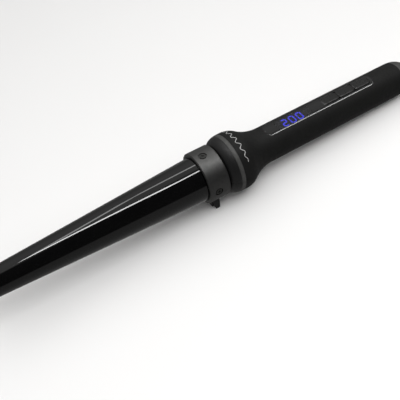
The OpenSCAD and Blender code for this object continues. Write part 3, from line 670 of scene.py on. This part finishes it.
def add_panel():
    """Gloss insert with openings for the window and the row of keys."""
    panel = skin_patch("panel_insert", plan_outline(
        panel_lo.x, panel_hi.x, 2 * panel_hi.y, PANEL_CORNER - SLIP, step=9))
    round_edges(panel, PANEL_EDGE)
    bake(panel)
    window = plan_outline(window_lo.x - WINDOW_BORDER, window_hi.x + WINDOW_BORDER,
                          2 * (window_hi.y + WINDOW_BORDER), WINDOW_MOUTH_CORNER)
    combine(panel, cutter("window", window))
    front = min(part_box(n)[0].x for n in key_nodes)
    rear = max(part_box(n)[1].x for n in key_nodes)
    mouth = plan_outline(
        front - KEY_MOUTH, rear + KEY_MOUTH, key_width + 2 * KEY_MOUTH, KEY_MOUTH_CORNER)
    combine(panel, cutter("row", mouth))
    place(panel, ["panel_cover"], edge=0)


def add_window():
    """Smoked lens over the figures, flush with the insert."""
    window = skin_patch("window_lens", plan_outline(
        window_lo.x, window_hi.x, 2 * window_hi.y, WINDOW_CORNER))
    place(window, ["display_window"], edge=0)


def add_key(name, node):
    """Pillow-shaped key: a crowned top that rolls over its edges, a skirt, a flange and a stem."""
    lo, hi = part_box(node)
    middle = (lo.x + hi.x) / 2
    half_length, half_width = (hi.x - lo.x) / 2, key_width / 2
    crown_radius = hi.z
    corner, corner_step = 2 * MM, 9
    roll, roll_start, roll_power = 0.38 * MM, 0.7, 2.2      # the edge's drop, and where it starts
    flange_top, flange_bottom = grip_radius - 2.47 * MM, grip_radius - 3.17 * MM
    stem, stem_short = 1.5 * MM, 0.3 * MM
    ring_count = 14
    outline = [(x - middle, y) for x, y in plan_outline(
        middle - half_length, middle + half_length, 2 * half_width, corner, step=corner_step)]
    bm = bmesh.new()
    shares = [k / ring_count for k in range(1, ring_count + 1)]
    centre = bm.verts.new((middle, 0, crown_radius))

    def top(y, t):
        over = max(0.0, (t - roll_start) / (1 - roll_start))
        drop = roll * (1 - math.sqrt(max(0.0, 1 - over ** roll_power)))
        return math.sqrt(crown_radius ** 2 - y ** 2) - drop

    rings = [[bm.verts.new((middle + x * t, y * t, top(y * t, t))) for x, y in outline]
             for t in shares]
    rings.append([bm.verts.new((middle + x, y, flange_top)) for x, y in outline])
    wide = 1 + KEY_FLANGE / half_width
    rings.append([bm.verts.new((middle + x, y * wide, flange_top)) for x, y in outline])
    rings.append([bm.verts.new((middle + x, y * wide, flange_bottom)) for x, y in outline])
    count = len(outline)
    for j in range(count):
        bm.faces.new((centre, rings[0][j], rings[0][(j + 1) % count]))
    for one, two in zip(rings, rings[1:]):
        for j in range(count):
            k = (j + 1) % count
            bm.faces.new((one[j], two[j], two[k], one[k]))
    bm.faces.new(rings[-1])
    key = new_piece(name, bm)
    length = flange_top - lo.z - stem_short
    combine(key, rod("stem", (middle, 0, lo.z), (0, 0, 1), stem, length, sides=32), "UNION")
    holder = frame["nodes"][node].parent
    body = next(b for b, o in frame["bodies"].items() if o is holder)
    place(key, [node], edge=0.05 * MM, body=body)


# ---------------------------------------------------------------- rear end

def add_end_cap():
    """Domed rear of the handle, which carries the gland."""
    lo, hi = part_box("end_cap")
    dome, mouth, hollow = 16.6 * MM, 6.06 * MM, 8.6 * MM
    plug_wall, floor_thickness, hollow_front = 1.6 * MM, 3 * MM, 4 * MM
    rear_edge, gland_step = 0.5 * MM, 0.1 * MM
    rear = hi.x
    joint = grip_end + SLIP
    sweep = math.degrees(math.asin((rear - grip_end - rear_edge) / dome))
    inner = grip_radius - SHELL_WALL - SLIP
    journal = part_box("swivel_gland")[1].z
    cap = turned("rear_dome", [
        (lo.x, inner - plug_wall), (lo.x, inner), (joint, inner),
        *arc((joint, grip_radius - SLIP - dome), dome, 0, sweep),
        (rear, journal - gland_step), (rear, mouth), (rear - floor_thickness, mouth),
        (rear - floor_thickness, hollow), (grip_end + hollow_front, inner - plug_wall)],
        steps=192, cell=MM)
    place(cap, ["end_cap"], edge=0.1 * MM)


def add_gland():
    """Swivelling cord gland with three ribs and a bore that narrows to a throat inside."""
    lo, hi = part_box("swivel_gland")
    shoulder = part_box("end_cap")[1].x + 0.2 * MM
    shoulder_radius = hi.z
    shoulder_length = 3 * MM
    nose, nose_bevel = 5.6 * MM, 0.8 * MM
    journal, groove, stem, bore, throat = 6 * MM, 5 * MM, 4.6 * MM, 3.5 * MM, 2 * MM
    throat_length, rear_land = 8 * MM, 1.9 * MM
    clip_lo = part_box("swivel_retainer")[0].x - SLIP
    clip_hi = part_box("swivel_retainer")[1].x + SLIP
    slope = (shoulder_radius - nose) / (hi.x - shoulder - 3.8 * MM)
    first_rib, pitch, rib_gap, rib_depth = 3.6 * MM, 1.8 * MM, 0.9 * MM, 0.75 * MM
    rib_slant, rib_dip = 0.15 * MM, 0.05 * MM
    ribs = []
    for k in (2, 1, 0):
        x = shoulder + first_rib + k * pitch
        r = shoulder_radius - slope * (x - shoulder - shoulder_length)
        ribs += [(x + rib_gap, r - rib_depth), (x, r - rib_depth), (x - rib_slant, r - rib_dip)]
    gland = turned("cord_gland", [
        (lo.x, throat), (lo.x + throat_length, throat), (lo.x + throat_length, bore),
        (hi.x, bore), (hi.x, nose - nose_bevel), (hi.x - nose_bevel, nose), *ribs,
        (shoulder + shoulder_length, shoulder_radius), (shoulder, shoulder_radius),
        (shoulder, journal), (clip_hi, journal), (clip_hi, groove), (clip_lo, groove),
        (clip_lo, journal), (clip_lo - rear_land, journal), (clip_lo - rear_land, stem),
        (lo.x, stem)], steps=96, cell=2 * MM)
    place(gland, ["swivel_gland"], edge=0.12 * MM, body="cord_swivel")


add_barrel()
add_tip()
add_flange()
add_collar()
add_upper_shell()
add_lower_shell()
add_front_cap("front_cap_top", "front_cap_upper", half=1)
add_front_cap("front_cap_bottom", "front_cap_lower", half=-1)
add_trim("trim_top", "trim_ring_upper", half=1)
add_trim("trim_bottom", "trim_ring_lower", half=-1)
add_motif()
add_panel()
add_window()
add_key("power_key", "button_power")
add_key("plus_key", "button_plus")
add_key("minus_key", "button_minus")
add_end_cap()
add_gland()


# ---------------------------------------------------------------- studio

LIGHT_HEIGHT = 0.8


def add_floor():
    """Wide sheet of white paper under the sole of the stand."""
    half = 4.0
    rough, wander = 0.8, 0.03
    mesh = bpy.data.meshes.new("floor")
    corners = [(-half, -half, 0), (half, -half, 0), (half, half, 0), (-half, half, 0)]
    mesh.from_pydata(corners, [], [(0, 1, 2, 3)])
    floor = bpy.data.objects.new("floor", mesh)
    turn = floor_up.to_track_quat("Z", "Y").to_matrix().to_4x4()
    floor.matrix_world = Matrix.Translation(sole["pos_m"]) @ turn
    paper = Finish("floor_paper").mottle((0.82, 0.815, 0.81), amount=0.01, size=0.4)
    floor.data.materials.append(paper.polish(rough - wander, rough + wander, size=0.05).material)
    floor.visible_glossy = False
    bpy.context.scene.collection.objects.link(floor)


def strip_light(name, start, end, width, radiance, mirrored=True):
    """Long soft light overhead between two (x, y) points, facing down. A mirrored one shows in
    gloss and lights nothing else; the others light diffusely and show in no gloss."""
    a, b = Vector((*start, LIGHT_HEIGHT)), Vector((*end, LIGHT_HEIGHT))
    data = bpy.data.lights.new(name, "AREA")
    data.shape = "RECTANGLE"
    data.size = (b - a).length
    data.size_y = width
    data.energy = radiance * math.pi * data.size * data.size_y
    lamp = bpy.data.objects.new(name, data)
    along = (b - a).normalized()
    up = Vector((0, 0, 1))
    turn = Matrix((along, up.cross(along), up)).transposed().to_4x4()
    lamp.matrix_world = Matrix.Translation((a + b) / 2) @ turn
    lamp.visible_diffuse = not mirrored
    lamp.visible_glossy = mirrored
    bpy.context.scene.collection.objects.link(lamp)


def add_world():
    """Pale studio behind the wand, dark room on the camera's side, dim below the horizon."""
    dark_room, below_horizon = 0.04, 0.28
    world = bpy.data.worlds.new("studio")
    world.use_nodes = True
    tree = world.node_tree
    tree.nodes.clear()

    def node(kind, inputs=None, **settings):
        return make_node(tree, kind, inputs, **settings)

    def ramp(value, start, end, low, high):
        made = node("ShaderNodeMapRange", {
            "Value": value, "From Min": start, "From Max": end, "To Min": low, "To Max": high},
            interpolation_type="SMOOTHSTEP")
        return made.outputs["Result"]

    def pick(share, first, second):
        """first where share is 0, second where it is 1."""
        made = node("ShaderNodeMix", {"Factor": share}, data_type="FLOAT")
        ends = [s for s in made.inputs if s.type == "VALUE"][1:]
        for socket, value in zip(ends, (first, second)):
            if isinstance(value, bpy.types.NodeSocket):
                tree.links.new(value, socket)
            else:
                socket.default_value = value
        return next(s for s in made.outputs if s.type == "VALUE")

    around = node("ShaderNodeTexCoord").outputs["Generated"]
    way = node("ShaderNodeSeparateXYZ", {"Vector": around}).outputs
    back = ramp(way["Z"], start=0.0, end=0.9, low=0.2, high=0.7)
    far_side = ramp(way["Y"], start=-0.08, end=0.1, low=0.0, high=1.0)
    overhead = ramp(way["Z"], start=-0.06, end=0.02, low=0.0, high=1.0)
    level = pick(overhead, below_horizon, pick(far_side, dark_room, back))
    shade = node("ShaderNodeBackground", {"Color": (1.0, 0.995, 0.985, 1), "Strength": level})
    out = node("ShaderNodeOutputWorld")
    tree.links.new(shade.outputs["Background"], out.inputs["Surface"])
    bpy.context.scene.world = world


def add_camera():
    """50 mm lens, looking down on the wand from over its barrel's near side."""
    target = Vector((-0.20621, -0.01091, -0.00837))
    forward = Vector((0.2789, 0.58461, -0.76187)).normalized()
    distance = 0.3817
    roll = math.radians(12.6)
    side = forward.cross(floor_up).normalized()
    up = side.cross(forward)
    camera_up = math.cos(roll) * up + math.sin(roll) * side
    camera_side = forward.cross(camera_up)
    data = bpy.data.cameras.new("camera")
    data.lens = 50
    data.sensor_width = 36
    data.clip_start = 0.01
    camera = bpy.data.objects.new("camera", data)
    turn = Matrix((camera_side, camera_up, -forward)).transposed().to_4x4()
    camera.matrix_world = Matrix.Translation(target - distance * forward) @ turn
    bpy.context.scene.collection.objects.link(camera)
    bpy.context.scene.camera = camera


add_floor()
strip_light("key_front", (-0.09, -0.14), (0.62, -0.14), width=0.06, radiance=20)
strip_light("key_tip", (-0.42, 0.17), (-0.08, -0.145), width=0.06, radiance=20)
strip_light("rim_tip", (-0.38, 0.2), (-0.15, 0.56), width=0.07, radiance=4.5)
strip_light("rim_back", (-0.15, 0.56), (0.03, 0.37), width=0.08, radiance=4.5)
strip_light("key_soft", (-0.6, -0.26), (0.5, -0.26), width=0.5, radiance=3.3, mirrored=False)
strip_light("fill", (-1.5, 0.0), (1.1, 0.0), width=2.4, radiance=0.72, mirrored=False)
add_world()
add_camera()
bpy.context.scene.view_settings.view_transform = "Standard"

bpy.context.view_layer.update()
